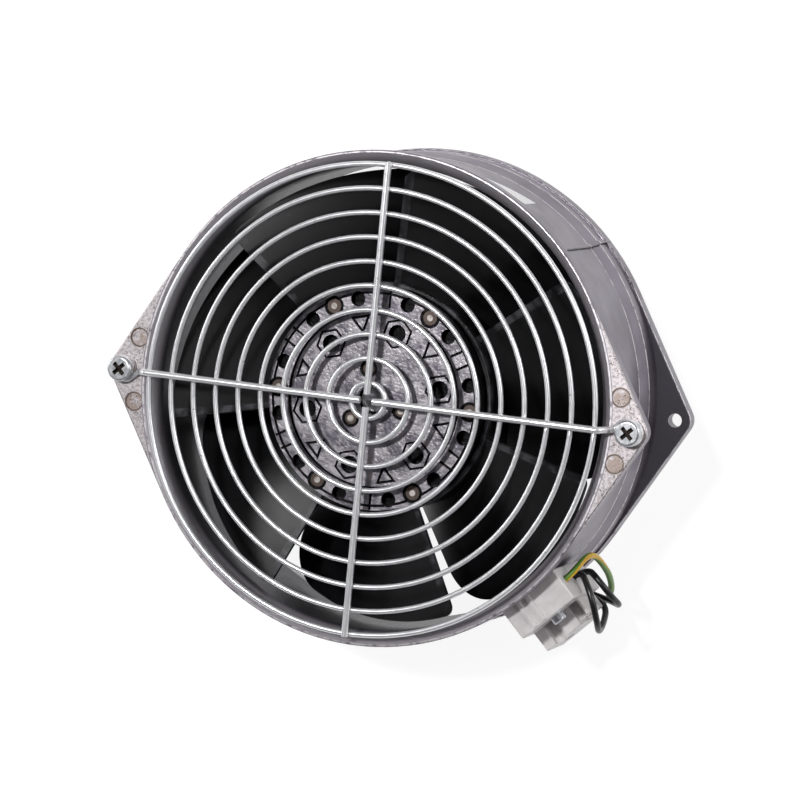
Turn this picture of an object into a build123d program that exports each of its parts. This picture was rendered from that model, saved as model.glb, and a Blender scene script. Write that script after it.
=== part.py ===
from build123d import *
import math
import os

# Compact axial fan with an external rotor motor, in millimetres.
# The rotor axis is Z. The rear mounting face is Z = 0 and the guarded inlet faces +Z.
# The ears lie along X, and the terminal strip sits on the rim at 45 degrees below +X.

# Driving dimensions of the housing
depth = 55.0
rim_r = 75.0
wall_r = rim_r - 2.4
duct_r = wall_r - 2.0
cut_overrun = 2.0
front_plate_t = 4.5
rear_plate_t = 5.0
front_mouth_w = 3.7
front_mouth_h = 7.0
rear_mouth_w = 3.5
rear_mouth_h = 14.5
flare_band_r = wall_r + 1.6
flare_band_z = 11.0
flare_top_z = 17.0
edge_round = 0.6
ear_hole_x = 81.0
ear_tip_r = 5.0
mount_hole_r = 2.15
screw_hole_clearance = 0.2
ejector_mark_r = 2.75
ejector_mark_depth = 0.3
ejector_mark_x = 76.9
ejector_mark_y = 9.9
parting_rib_w = 1.2
parting_rib_h = 0.5
parting_rib_angle = 44.3

# Driving dimensions of the motor carrier cast in the rear of the housing
carrier_z = 1.0
carrier_floor_t = 3.0
carrier_h = 8.0
carrier_r = 34.5
carrier_wall = 2.2
carrier_bore_r = 12.0
strut_count = 3
strut_w = 5.0
lead_strut_angle = -45.0
trough_w = 9.4
trough_wall = 1.7
trough_h = 9.4
trough_floor_t = 1.6
lead_hole_r = 3.4
lead_hole_z = 8.9

# Driving dimensions of the motor
seat_clearance = 0.05
flange_t = 3.5
flange_screw_count = 3
flange_screw_circle_r = 25.0
flange_screw_shank_r = 1.65
flange_screw_head_r = 3.5
bearing_outer_r = 11.0
bearing_inner_r = 4.0
bearing_w = 7.0
bearing_ring_t = 2.0
ball_count = 7
ball_r = 1.9
tube_wall = 2.0
tube_lip = 1.6
tube_root_round = 1.5
cap_t = 0.8
cap_setback = 0.4
spring_t = 1.4
spring_room = 1.5
spring_clearance = 0.3
rear_bearing_z = 9.0
front_bearing_z = 39.0
stack_z = 18.0
stack_h = 20.0
stator_r = 27.0
pole_count = 6
pole_w = 6.0
yoke_w = 4.5
shoe_t = 2.2
shoe_gap = 3.0
insulator_t = 1.0
coil_wall = 1.9
coil_build = 2.6
coil_clearance = 0.15
coil_root_gap = 0.4
coil_shoe_gap = 0.8
pole_bite = 1.0
air_gap = 0.4

# Driving dimensions of the rotor
rotor_r = 33.6
rotor_rear_z = 12.5
rotor_face_z = 54.3
rotor_face_t = 4.0
rotor_boss_r = 8.0
shaft_r = 4.0
shaft_front_gap = 0.5
shaft_tail = 1.5
shaft_chamfer_r = 0.4
circlip_t = 0.9
circlip_groove = 0.5
circlip_ring_w = 1.6
circlip_slot_w = 1.6
washer_t = 0.5
cage_bar_count = 12
cage_bar_r = 1.5
cage_bar_circle_r = rotor_r - 3.0
pattern_phase = 14.6
rim_hole_r = 2.3
rim_hole_depth = 3.2
pin_count = 6
pin_r = 0.95
pin_well_r = 3.1
pin_well_depth = 0.5
pin_phase = -0.4
pin_washer_r = 2.15
pin_washer_share = 0.6
lobe_hole_r = 2.7
lobe_circle_r = 21.3
lobe_boss_r = 4.1
lobe_groove_w = 0.8
groove_depth = 1.0
triangle_circle_r = 23.6
triangle_side = 7.6
slot_pair_circle_r = rotor_r - 3.0
slot_len = 5.6
slot_spacing = 4.4
slot_phase = 29.6
rivet_count = 3
rivet_r = 1.0
rivet_head_r = 1.75
rivet_well_r = 2.75
rivet_circle_r = 9.3
rivet_phase = 104.6
shaft_well_r = 4.6
edge_groove_r = rotor_r - 1.0
inner_groove_r = rotor_r - 6.4

# Driving dimensions of the impeller
ring_clearance = 0.05
ring_t = 1.6
ring_rear_z = 13.5
ring_front_z = 48.0
blade_count = 7
blade_t = 1.0
ring_edge_round = 0.5
blade_tip_r = duct_r - 1.6
blade_root_run = 6.0
blade_tip_run = 3.0
blade_front_z = 45.5
blade_rear_z = 14.5
blade_camber = 3.2
blade_front_angle = 31.0
blade_hub_sweep = 67.0
blade_tip_sweep = 57.0
blade_phase = 89.5
blade_front_corner = 3.0
blade_rear_corner = 14.0

# Driving dimensions of the guard and its screws
guard_ring_count = 10
guard_ring_first_r = 5.4
guard_ring_pitch = 7.28
guard_ring_wire = 1.6
guard_arm_wire = 2.1
guard_ring_z = 59.0
guard_weld = 0.3
guard_arm_gap = 2.0
guard_bend_x = 72.3
guard_foot_x = 76.0
guard_foot_y = 0.4
guard_hook_x = 2.0
guard_bend_r = 1.6
guard_eye_r = 3.1
guard_eye_turn = 300.0
guard_screw_shank_r = 1.65
guard_screw_head_r = 4.0
guard_screw_head_h = 2.5
guard_screw_len = 10.0
guard_screw_head_round = 0.9
recess_w = 1.3
recess_len = 4.6
recess_turn = 45.0
recess_depth = 1.5

# Driving dimensions of the terminal strip, in its own frame: U along the rim, V outwards
terminal_angle = -45.0
terminal_len = 20.8
terminal_front_z = 48.0
terminal_rear_z = 20.0
terminal_base_v = wall_r + 0.7
terminal_shoulder_v = terminal_base_v + 10.7
terminal_top_v = terminal_shoulder_v + 6.6
terminal_step = 1.4
terminal_step_u = 3.4
tower_setback = 12.0
tower_trim = 2.8
tower_groove_u = -4.2
tower_groove_w = 4.0
tower_groove_depth = 1.8
terminal_round = 0.5
pad_w = 12.0
pad_len = 18.5
rib_us = (-4.6, -1.2)
rib_w = 1.4
rib_proud = 0.6
pole_count_strip = 3
pole_pitch = 8.0
first_pole_setback = 5.0
wire_entry_v = terminal_base_v + 4.3
wire_entry_r = 1.35
clamp_r = 2.2
clamp_bore_r = 1.25
clamp_len = 16.0
clamp_screw_r = 1.3
clamp_screw_u = 5.0
clamp_screw_len = 3.6
clamp_slot_w = 0.5
clamp_slot_depth = 0.7
screw_well_r = 1.9
fixing_screw_r = 1.4
fixing_head_r = 2.4
fixing_head_h = 2.2
fixing_head_round = 0.6
fixing_slot_w = 0.7
fixing_slot_depth = 0.8
fixing_bite = 1.9

# Driving dimensions of the leads, their grommet and the earth tag
lead_count = 3
lead_r = 1.0
lead_gap = 0.1
lead_corner_share = 0.45
grommet_lip_r = 3.85
grommet_lip_t = 1.0
grommet_depth = 1.8
earth_tag_t = 0.6
earth_tag_r = 2.8
earth_tag_u = -8.0
earth_tag_v = 23.5
earth_screw_r = 1.2
earth_head_r = 2.1
earth_head_h = 1.6
earth_screw_len = 3.1


def add_flange_outline():
    """Add the rim circle joined by tangents to a small circle round each ear hole."""
    Circle(rim_r)
    with Locations((ear_hole_x, 0), (-ear_hole_x, 0)):
        Circle(ear_tip_r)
    make_hull()


def outward(angle):
    """Give the direction that points away from the axis at one angle."""
    return (math.cos(math.radians(angle)), math.sin(math.radians(angle)), 0)


def radial_plane(angle):
    """Give the plane through the axis whose X points outwards at one angle."""
    return Plane(origin=(0, 0, 0), x_dir=outward(angle), z_dir=outward(angle - 90))


def wall_outline(inner_r, proud):
    """Give the outside of the wall with its rear flare as radius and height."""
    return [
        (inner_r, rear_plate_t / 2),
        (flare_band_r + proud, rear_plate_t / 2),
        (flare_band_r + proud, flare_band_z),
        (wall_r + proud, flare_top_z),
        (wall_r + proud, depth - front_plate_t / 2),
        (inner_r, depth - front_plate_t / 2),
    ]


def write_part(builder, label):
    """Label a finished piece and write it as one STEP file."""
    builder.part.label = label
    export_step(builder.part, f"parts/{label}.step")


os.makedirs("parts", exist_ok=True)

# Housing: die cast ring with two pairs of ears, motor carrier, struts and strip pad
flange_seat_z = carrier_z + carrier_floor_t
guard_screw_hole_r = guard_screw_shank_r + seat_clearance
strut_in_r = carrier_r - carrier_wall / 2
strut_out_r = flare_band_r - 0.3
strut_mid_r = (strut_in_r + strut_out_r) / 2
strut_len = strut_out_r - strut_in_r
channel_in_r = strut_in_r - carrier_wall
channel_mid_r = (channel_in_r + duct_r) / 2
pad_top_v = terminal_base_v - seat_clearance
strip_mid_z = (terminal_front_z + terminal_rear_z) / 2
strip_w = terminal_front_z - terminal_rear_z
first_pole_z = terminal_front_z - first_pole_setback
fixing_z = first_pole_z - pole_pitch / 2
lead_wall_plane = Plane(origin=(0, 0, lead_hole_z), x_dir=(0, 0, 1), z_dir=outward(lead_strut_angle))
strip_plane = Plane(origin=(0, 0, 0), x_dir=outward(terminal_angle + 90), z_dir=outward(terminal_angle))

with BuildPart() as housing:
    with BuildSketch(Plane.XY):
        add_flange_outline()
    extrude(amount=rear_plate_t)
    with BuildSketch(Plane.XY.offset(depth - front_plate_t)):
        add_flange_outline()
    extrude(amount=front_plate_t)
    rim_edges = housing.faces().filter_by(Plane.XY).edges()
    fillet(rim_edges, edge_round)
    with BuildSketch(Plane.XY.offset(rear_plate_t / 2)):
        Circle(wall_r)
    extrude(amount=depth - (rear_plate_t + front_plate_t) / 2)
    with BuildSketch(Plane.XZ):
        with BuildLine():
            Polyline(*wall_outline(0, 0), close=True)
        make_face()
    revolve(axis=Axis.Z)
    for rib_angle in (parting_rib_angle, parting_rib_angle + 180):
        with BuildSketch(radial_plane(rib_angle)):
            with BuildLine():
                Polyline(*wall_outline(duct_r, parting_rib_h), close=True)
            make_face()
        extrude(amount=parting_rib_w / 2, both=True)
    with BuildSketch(strip_plane.offset(duct_r)):
        with Locations((0, strip_mid_z)):
            Rectangle(pad_w, pad_len)
    extrude(amount=pad_top_v - duct_r)
    with BuildSketch(Plane.XZ):
        with BuildLine():
            Polyline(
                (duct_r + front_mouth_w, depth),
                (duct_r + front_mouth_w, depth + cut_overrun),
                (0, depth + cut_overrun),
                (0, -cut_overrun),
                (duct_r + rear_mouth_w, -cut_overrun),
                (duct_r + rear_mouth_w, 0),
                (duct_r, rear_mouth_h),
                (duct_r, depth - front_mouth_h),
            )
            TangentArc((duct_r, depth - front_mouth_h), (duct_r + front_mouth_w, depth), tangent=(0, 1))
        make_face()
    revolve(axis=Axis.Z, mode=Mode.SUBTRACT)
    with BuildSketch(Plane.XY.offset(carrier_z)):
        Circle(carrier_r)
        with PolarLocations(strut_mid_r, strut_count, start_angle=lead_strut_angle):
            Rectangle(strut_len, strut_w)
    extrude(amount=carrier_h)
    with BuildSketch(Plane.XY.offset(carrier_z)):
        with PolarLocations(strut_mid_r, 1, start_angle=lead_strut_angle):
            Rectangle(strut_len, trough_w)
    extrude(amount=trough_h)
    with BuildSketch(Plane.XY.offset(flange_seat_z)):
        Circle(carrier_r - carrier_wall)
    extrude(amount=trough_h, mode=Mode.SUBTRACT)
    with BuildSketch(Plane.XY.offset(carrier_z + trough_floor_t)):
        with PolarLocations(channel_mid_r, 1, start_angle=lead_strut_angle):
            Rectangle(duct_r - channel_in_r, trough_w - 2 * trough_wall)
    extrude(amount=trough_h, mode=Mode.SUBTRACT)
    with BuildSketch(Plane.XY):
        Circle(carrier_bore_r)
        with PolarLocations(flange_screw_circle_r, flange_screw_count, start_angle=0):
            Circle(flange_screw_shank_r + screw_hole_clearance)
        with Locations((ear_hole_x, 0), (-ear_hole_x, 0)):
            Circle(mount_hole_r)
    extrude(amount=rear_plate_t, mode=Mode.SUBTRACT)
    with BuildSketch(Plane.XY.offset(depth)):
        with Locations((ear_hole_x, 0), (-ear_hole_x, 0)):
            Circle(guard_screw_hole_r)
    extrude(amount=-front_plate_t, mode=Mode.SUBTRACT)
    with BuildSketch(Plane.XY.offset(depth)):
        for side in (-1, 1):
            with Locations((side * ejector_mark_x, ejector_mark_y), (side * ejector_mark_x, -ejector_mark_y)):
                Circle(ejector_mark_r)
    extrude(amount=-ejector_mark_depth, mode=Mode.SUBTRACT)
    with BuildSketch(lead_wall_plane.offset(duct_r - cut_overrun)):
        Circle(lead_hole_r)
    extrude(amount=flare_band_r - duct_r + 2 * cut_overrun, mode=Mode.SUBTRACT)
    with BuildSketch(strip_plane.offset(pad_top_v)):
        with Locations((0, fixing_z)):
            Circle(fixing_screw_r + seat_clearance)
    extrude(amount=-fixing_bite, mode=Mode.SUBTRACT)
write_part(housing, "housing")


def strip_to_xy(u, v):
    """Turn a place in the strip's frame into X and Y."""
    turn = math.radians(terminal_angle)
    return (v * math.cos(turn) - u * math.sin(turn), v * math.sin(turn) + u * math.cos(turn))


# Stator flange with the bearing tube
earth_tag_place = strip_to_xy(earth_tag_u, earth_tag_v)
tube_bore_r = bearing_outer_r + seat_clearance
tube_r = tube_bore_r + tube_wall
tube_top_z = front_bearing_z + bearing_w
with BuildPart() as stator_flange:
    with BuildSketch(Plane.XY.offset(flange_seat_z)):
        Circle(carrier_r - carrier_wall - screw_hole_clearance)
    extrude(amount=flange_t)
    with BuildSketch(Plane.XY.offset(flange_seat_z)):
        Circle(tube_r)
    extrude(amount=tube_top_z - flange_seat_z)
    tube_root = stator_flange.edges().filter_by(GeomType.CIRCLE).group_by(SortBy.RADIUS)[0]
    fillet(tube_root.sort_by(Axis.Z)[1:2], tube_root_round)
    with BuildSketch(Plane.XY.offset(flange_seat_z)):
        Circle(tube_bore_r)
    extrude(amount=rear_bearing_z + bearing_w + spring_room - flange_seat_z, mode=Mode.SUBTRACT)
    with BuildSketch(Plane.XY.offset(flange_seat_z)):
        Circle(tube_bore_r - tube_lip)
    extrude(amount=tube_top_z - flange_seat_z, mode=Mode.SUBTRACT)
    with BuildSketch(Plane.XY.offset(front_bearing_z)):
        Circle(tube_bore_r)
    extrude(amount=bearing_w, mode=Mode.SUBTRACT)
    with BuildSketch(Plane.XY.offset(flange_seat_z)):
        with PolarLocations(flange_screw_circle_r, flange_screw_count, start_angle=0):
            Circle(flange_screw_shank_r + seat_clearance)
        with Locations(earth_tag_place):
            Circle(earth_screw_r + seat_clearance)
    extrude(amount=flange_t, mode=Mode.SUBTRACT)
write_part(stator_flange, "stator_flange")

# Screws that hold the stator flange, driven from the rear
with BuildPart() as flange_screws:
    with BuildSketch(Plane.XY.offset(carrier_z)):
        with PolarLocations(flange_screw_circle_r, flange_screw_count, start_angle=0):
            Circle(flange_screw_shank_r)
    extrude(amount=carrier_floor_t + flange_t)
    with BuildSketch(Plane.XY.offset(carrier_z)):
        with PolarLocations(flange_screw_circle_r, flange_screw_count, start_angle=0):
            Circle(flange_screw_head_r)
    extrude(amount=-carrier_z / 2)
write_part(flange_screws, "flange_screws")

# Bearings: sealed ball bearings, each with an outer ring, an inner ring and its balls
bearing_seats = {"rear": rear_bearing_z, "front": front_bearing_z}
pitch_r = (bearing_outer_r + bearing_inner_r) / 2
for end, seat_z in bearing_seats.items():
    mid_z = seat_z + bearing_w / 2
    with BuildPart() as outer_ring:
        with BuildSketch(Plane.XY.offset(seat_z)):
            Circle(bearing_outer_r)
            Circle(bearing_outer_r - bearing_ring_t, mode=Mode.SUBTRACT)
        extrude(amount=bearing_w)
        with Locations((0, 0, mid_z)):
            Torus(pitch_r, ball_r + seat_clearance, mode=Mode.SUBTRACT)
    write_part(outer_ring, f"{end}_bearing_outer_ring")
    with BuildPart() as inner_ring:
        with BuildSketch(Plane.XY.offset(seat_z)):
            Circle(bearing_inner_r + bearing_ring_t)
            Circle(bearing_inner_r, mode=Mode.SUBTRACT)
        extrude(amount=bearing_w)
        with Locations((0, 0, mid_z)):
            Torus(pitch_r, ball_r + seat_clearance, mode=Mode.SUBTRACT)
    write_part(inner_ring, f"{end}_bearing_inner_ring")
    with BuildPart() as balls:
        with Locations((0, 0, mid_z)):
            with PolarLocations(pitch_r, ball_count):
                Sphere(ball_r)
    write_part(balls, f"{end}_bearing_balls")

# Stator laminations: a yoke on the tube, six poles and their shoes
core_in_r = tube_r + seat_clearance
yoke_r = core_in_r + yoke_w
with BuildPart() as stator_core:
    with BuildSketch(Plane.XY.offset(stack_z)):
        Circle(stator_r)
        Circle(stator_r - shoe_t, mode=Mode.SUBTRACT)
        Circle(yoke_r)
        with PolarLocations((yoke_r + stator_r) / 2 - pole_bite, pole_count, start_angle=lead_strut_angle):
            Rectangle(stator_r - yoke_r, pole_w)
        with PolarLocations(stator_r, pole_count, start_angle=lead_strut_angle + 180 / pole_count):
            Rectangle(3 * shoe_t, shoe_gap, mode=Mode.SUBTRACT)
        Circle(core_in_r, mode=Mode.SUBTRACT)
    extrude(amount=stack_h)
write_part(stator_core, "stator_core")

# Insulating end plates that follow the laminations
insulator_seats = {"rear": stack_z - insulator_t, "front": stack_z + stack_h}
for end, seat_z in insulator_seats.items():
    with BuildPart() as insulator:
        with BuildSketch(Plane.XY.offset(seat_z)):
            Circle(yoke_r)
            with PolarLocations((yoke_r + stator_r) / 2 - pole_bite, pole_count, start_angle=lead_strut_angle):
                Rectangle(stator_r - yoke_r, pole_w)
            Circle(core_in_r, mode=Mode.SUBTRACT)
        extrude(amount=insulator_t)
    write_part(insulator, f"{end}_insulator")

# One coil round each pole
coil_in_r = yoke_r + coil_root_gap
coil_out_r = stator_r - shoe_t - coil_shoe_gap
coil_window_z = stack_z - insulator_t - coil_clearance
coil_window_h = stack_h + 2 * insulator_t + 2 * coil_clearance
with BuildPart() as windings:
    with BuildSketch(Plane.YZ.offset(coil_in_r)):
        with Locations((0, coil_window_z + coil_window_h / 2)):
            RectangleRounded(
                pole_w + 2 * coil_clearance + 2 * coil_wall, coil_window_h + 2 * coil_build, coil_wall
            )
            Rectangle(pole_w + 2 * coil_clearance, coil_window_h, mode=Mode.SUBTRACT)
    extrude(amount=coil_out_r - coil_in_r)
coil = windings.part
with BuildPart() as windings:
    with PolarLocations(0, pole_count, start_angle=lead_strut_angle):
        add(coil)
write_part(windings, "windings")

# Wave spring that preloads the rear bearing against the lip of the tube
with BuildPart() as preload_spring:
    with BuildSketch(Plane.XY.offset(rear_bearing_z + bearing_w + seat_clearance)):
        Circle(tube_bore_r - spring_clearance)
        Circle(tube_bore_r - tube_lip - spring_clearance, mode=Mode.SUBTRACT)
    extrude(amount=spring_t)
write_part(preload_spring, "preload_spring")

# Cap pressed into the rear of the bearing tube
with BuildPart() as bearing_cap:
    with BuildSketch(Plane.XY.offset(flange_seat_z + cap_setback)):
        Circle(bearing_outer_r)
    extrude(amount=cap_t)
write_part(bearing_cap, "bearing_cap")

# Rotor laminations with the holes that the cage bars fill
core_bore_r = stator_r + air_gap
cage_phase = pattern_phase + 180 / cage_bar_count
with BuildPart() as rotor_core:
    with BuildSketch(Plane.XY.offset(stack_z)):
        Circle(rotor_r)
        Circle(core_bore_r, mode=Mode.SUBTRACT)
        with PolarLocations(cage_bar_circle_r, cage_bar_count, start_angle=cage_phase):
            Circle(cage_bar_r + seat_clearance, mode=Mode.SUBTRACT)
    extrude(amount=stack_h)
write_part(rotor_core, "rotor_core")

# Rotor casting: end rings, cage bars, bell and the ribbed face that shows through the guard
face_inner_z = rotor_face_z - rotor_face_t
boss_rear_z = front_bearing_z + bearing_w
with BuildPart() as rotor_casting:
    with BuildSketch(Plane.XY.offset(stack_z + stack_h)):
        Circle(rotor_r)
    extrude(amount=rotor_face_z - stack_z - stack_h)
    with BuildSketch(Plane.XY.offset(stack_z + stack_h)):
        Circle(core_bore_r)
        Circle(rotor_boss_r, mode=Mode.SUBTRACT)
    extrude(amount=face_inner_z - stack_z - stack_h, mode=Mode.SUBTRACT)
    with BuildSketch(Plane.XY.offset(stack_z + stack_h)):
        Circle(rotor_boss_r + 1)
    extrude(amount=boss_rear_z - stack_z - stack_h, mode=Mode.SUBTRACT)
    with BuildSketch(Plane.XY.offset(stack_z)):
        with PolarLocations(cage_bar_circle_r, cage_bar_count, start_angle=cage_phase):
            Circle(cage_bar_r)
    extrude(amount=stack_h)
    with BuildSketch(Plane.XY.offset(rotor_rear_z)):
        Circle(rotor_r)
        Circle(core_bore_r, mode=Mode.SUBTRACT)
    extrude(amount=stack_z - rotor_rear_z)
    with BuildSketch(Plane.XY.offset(boss_rear_z)):
        Circle(shaft_r)
    extrude(amount=rotor_face_z - boss_rear_z, mode=Mode.SUBTRACT)
    with BuildSketch(Plane.XY.offset(rotor_face_z)):
        with PolarLocations(cage_bar_circle_r, cage_bar_count, start_angle=pattern_phase):
            Circle(rim_hole_r)
        with PolarLocations(lobe_circle_r, pin_count, start_angle=pattern_phase):
            Circle(lobe_hole_r)
    extrude(amount=-rim_hole_depth, mode=Mode.SUBTRACT)
    with BuildSketch(Plane.XY.offset(rotor_face_z)):
        with PolarLocations(cage_bar_circle_r, pin_count, start_angle=pin_phase):
            Circle(pin_well_r)
        with PolarLocations(rivet_circle_r, rivet_count, start_angle=rivet_phase):
            Circle(rivet_well_r)
        Circle(shaft_well_r)
    extrude(amount=-pin_well_depth, mode=Mode.SUBTRACT)
    with BuildSketch(Plane.XY.offset(rotor_face_z)):
        for groove_r in (edge_groove_r, inner_groove_r):
            Circle(groove_r)
            Circle(groove_r - lobe_groove_w, mode=Mode.SUBTRACT)
        with PolarLocations(lobe_circle_r, pin_count, start_angle=pattern_phase):
            RegularPolygon(lobe_boss_r + lobe_groove_w, 6)
        with PolarLocations(lobe_circle_r, pin_count, start_angle=pattern_phase):
            RegularPolygon(lobe_boss_r, 6, mode=Mode.SUBTRACT)
        with PolarLocations(triangle_circle_r, pin_count, start_angle=pattern_phase + 180 / pin_count):
            RegularPolygon(triangle_side / 2, 3, rotation=180)
        with PolarLocations(triangle_circle_r, pin_count, start_angle=pattern_phase + 180 / pin_count):
            RegularPolygon(triangle_side / 2 - 2 * lobe_groove_w, 3, rotation=180, mode=Mode.SUBTRACT)
        with PolarLocations(slot_pair_circle_r, pin_count, start_angle=slot_phase):
            with Locations((0, slot_spacing / 2), (0, -slot_spacing / 2)):
                Rectangle(slot_len, lobe_groove_w)
    extrude(amount=-groove_depth, mode=Mode.SUBTRACT)
write_part(rotor_casting, "rotor_casting")

# Shaft with the groove for its circlip
circlip_z = rear_bearing_z - washer_t - circlip_t - seat_clearance
shaft_rear_z = circlip_z - shaft_tail
with BuildPart() as shaft:
    with BuildSketch(Plane.XY.offset(shaft_rear_z)):
        Circle(shaft_r)
    extrude(amount=rotor_face_z - shaft_front_gap - shaft_rear_z)
    fillet(shaft.edges(), shaft_chamfer_r)
    with BuildSketch(Plane.XY.offset(circlip_z)):
        Circle(shaft_r)
        Circle(shaft_r - circlip_groove, mode=Mode.SUBTRACT)
    extrude(amount=circlip_t, mode=Mode.SUBTRACT)
write_part(shaft, "shaft")

with BuildPart() as circlip:
    with BuildSketch(Plane.XY.offset(circlip_z)):
        Circle(shaft_r + circlip_ring_w)
        Circle(shaft_r - circlip_groove, mode=Mode.SUBTRACT)
        with Locations((shaft_r, 0)):
            Rectangle(3 * circlip_ring_w, circlip_slot_w, mode=Mode.SUBTRACT)
    extrude(amount=circlip_t)
write_part(circlip, "circlip")

with BuildPart() as thrust_washer:
    with BuildSketch(Plane.XY.offset(circlip_z + circlip_t)):
        Circle(bearing_inner_r + bearing_ring_t)
        Circle(shaft_r + seat_clearance, mode=Mode.SUBTRACT)
    extrude(amount=washer_t)
write_part(thrust_washer, "thrust_washer")

# Pins and rivets whose heads show in the wells of the rotor face
with BuildPart() as rotor_pins:
    with BuildSketch(Plane.XY.offset(rotor_face_z - pin_well_depth)):
        with PolarLocations(cage_bar_circle_r, pin_count, start_angle=pin_phase):
            Circle(pin_washer_r)
    extrude(amount=pin_washer_share * pin_well_depth)
    with BuildSketch(Plane.XY.offset(rotor_face_z - pin_well_depth)):
        with PolarLocations(cage_bar_circle_r, pin_count, start_angle=pin_phase):
            Circle(pin_r)
    extrude(amount=pin_well_depth)
write_part(rotor_pins, "rotor_pins")

with BuildPart() as face_rivets:
    with BuildSketch(Plane.XY.offset(rotor_face_z - pin_well_depth)):
        with PolarLocations(rivet_circle_r, rivet_count, start_angle=rivet_phase):
            Circle(rivet_head_r)
    extrude(amount=pin_washer_share * pin_well_depth)
    with BuildSketch(Plane.XY.offset(rotor_face_z - pin_well_depth)):
        with PolarLocations(rivet_circle_r, rivet_count, start_angle=rivet_phase):
            Circle(rivet_r)
    extrude(amount=pin_well_depth)
write_part(face_rivets, "face_rivets")

# Impeller: a sheet ring pressed on the rotor and seven bent sheet blades
ring_in_r = rotor_r + ring_clearance
ring_out_r = ring_in_r + ring_t
with BuildPart() as impeller_ring:
    with BuildSketch(Plane.XY.offset(ring_rear_z)):
        Circle(ring_out_r)
        Circle(ring_in_r, mode=Mode.SUBTRACT)
    extrude(amount=ring_front_z - ring_rear_z)
    fillet(impeller_ring.faces().sort_by(Axis.Z)[-1].edges(), ring_edge_round)
write_part(impeller_ring, "impeller_ring")


def edge_points(radius, sweep):
    """Give the front and rear corner of the blade in plan at one radius."""
    front = math.radians(blade_front_angle)
    rear = math.radians(blade_front_angle - sweep)
    return (
        (radius * math.cos(front), radius * math.sin(front)),
        (radius * math.cos(rear), radius * math.sin(rear)),
    )


def along(start, end, x):
    """Give the Y at which the straight line from start to end reaches X."""
    share = (x - start[0]) / (end[0] - start[0])
    return start[1] + share * (end[1] - start[1])


hub_front, hub_rear = edge_points(ring_out_r, blade_hub_sweep)
tip_front, tip_rear = edge_points(blade_tip_r, blade_tip_sweep)
section_xs = (hub_rear[0] - blade_root_run, blade_tip_r + blade_tip_run)
with BuildPart() as blade_blank:
    for x in section_xs:
        front_y = along(hub_front, tip_front, x)
        rear_y = along(hub_rear, tip_rear, x)
        middle = ((front_y + rear_y) / 2, (blade_front_z + blade_rear_z) / 2 + blade_camber)
        with BuildSketch(Plane.YZ.offset(x)):
            with BuildLine():
                skin = ThreePointArc((front_y, blade_front_z), middle, (rear_y, blade_rear_z))
                offset(skin, amount=blade_t, side=Side.RIGHT)
            make_face()
    loft()
    with BuildSketch(Plane.XY) as blade_outline:
        with BuildLine():
            Line(hub_front, tip_front)
            RadiusArc(tip_front, tip_rear, blade_tip_r)
            Line(tip_rear, hub_rear)
            RadiusArc(hub_rear, hub_front, -ring_out_r)
        make_face()
        fillet(blade_outline.vertices().sort_by_distance(tip_front)[0], blade_front_corner)
        fillet(blade_outline.vertices().sort_by_distance(tip_rear)[0], blade_rear_corner)
    extrude(amount=depth, mode=Mode.INTERSECT)
for number in range(blade_count):
    turn = blade_phase - blade_front_angle - 360 / blade_count * number
    with BuildPart() as blade:
        with PolarLocations(0, 1, start_angle=turn):
            add(blade_blank.part)
    write_part(blade, f"blade_{number + 1}")

# Wire guard: ten rings welded to four arms, two of which end in eyes round the screws
ring_wire_r = guard_ring_wire / 2
arm_wire_r = guard_arm_wire / 2
arm_z = guard_ring_z + ring_wire_r + arm_wire_r - guard_weld
eye_z = depth + arm_wire_r + seat_clearance
guard_r = guard_ring_first_r + guard_ring_pitch * (guard_ring_count - 1)
with BuildPart() as eye_arm:
    with BuildLine():
        FilletPolyline(
            (guard_arm_gap, 0, arm_z),
            (guard_bend_x, 0, arm_z),
            (guard_foot_x, guard_foot_y, eye_z),
            (ear_hole_x - guard_hook_x, guard_eye_r, eye_z),
            (ear_hole_x, guard_eye_r, eye_z),
            radius=guard_bend_r,
        )
        CenterArc((ear_hole_x, 0, eye_z), guard_eye_r, 90, -guard_eye_turn)
    with BuildSketch(Plane(origin=(guard_arm_gap, 0, arm_z), z_dir=(1, 0, 0))):
        Circle(arm_wire_r)
    sweep()
with BuildPart() as wire_guard:
    with PolarLocations(0, 2):
        add(eye_arm.part)
    for side in (1, -1):
        with BuildSketch(Plane.XZ.offset(side * guard_arm_gap)):
            with Locations((0, arm_z)):
                Circle(arm_wire_r)
        extrude(amount=side * (guard_r + ring_wire_r - guard_arm_gap))
    for number in range(guard_ring_count):
        with Locations((0, 0, guard_ring_z)):
            Torus(guard_ring_first_r + guard_ring_pitch * number, ring_wire_r, rotation=(0, 0, 45))
write_part(wire_guard, "wire_guard")

# Pan head screws that clamp the eyes of the guard to the front ears
head_seat_z = eye_z + arm_wire_r + seat_clearance
with BuildPart() as guard_screws:
    with BuildSketch(Plane.XY.offset(head_seat_z)):
        with Locations((ear_hole_x, 0), (-ear_hole_x, 0)):
            Circle(guard_screw_head_r)
    extrude(amount=guard_screw_head_h)
    fillet(guard_screws.faces().filter_by(Plane.XY).group_by(Axis.Z)[-1].edges(), guard_screw_head_round)
    with BuildSketch(Plane.XY.offset(head_seat_z)):
        with Locations((ear_hole_x, 0), (-ear_hole_x, 0)):
            Circle(guard_screw_shank_r)
    extrude(amount=-guard_screw_len)
    with BuildSketch(Plane.XY.offset(head_seat_z + guard_screw_head_h)):
        with Locations((ear_hole_x, 0), (-ear_hole_x, 0)):
            Rectangle(recess_len, recess_w, rotation=recess_turn)
            Rectangle(recess_w, recess_len, rotation=recess_turn)
    extrude(amount=-recess_depth, mode=Mode.SUBTRACT)
write_part(guard_screws, "guard_screws")

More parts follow.
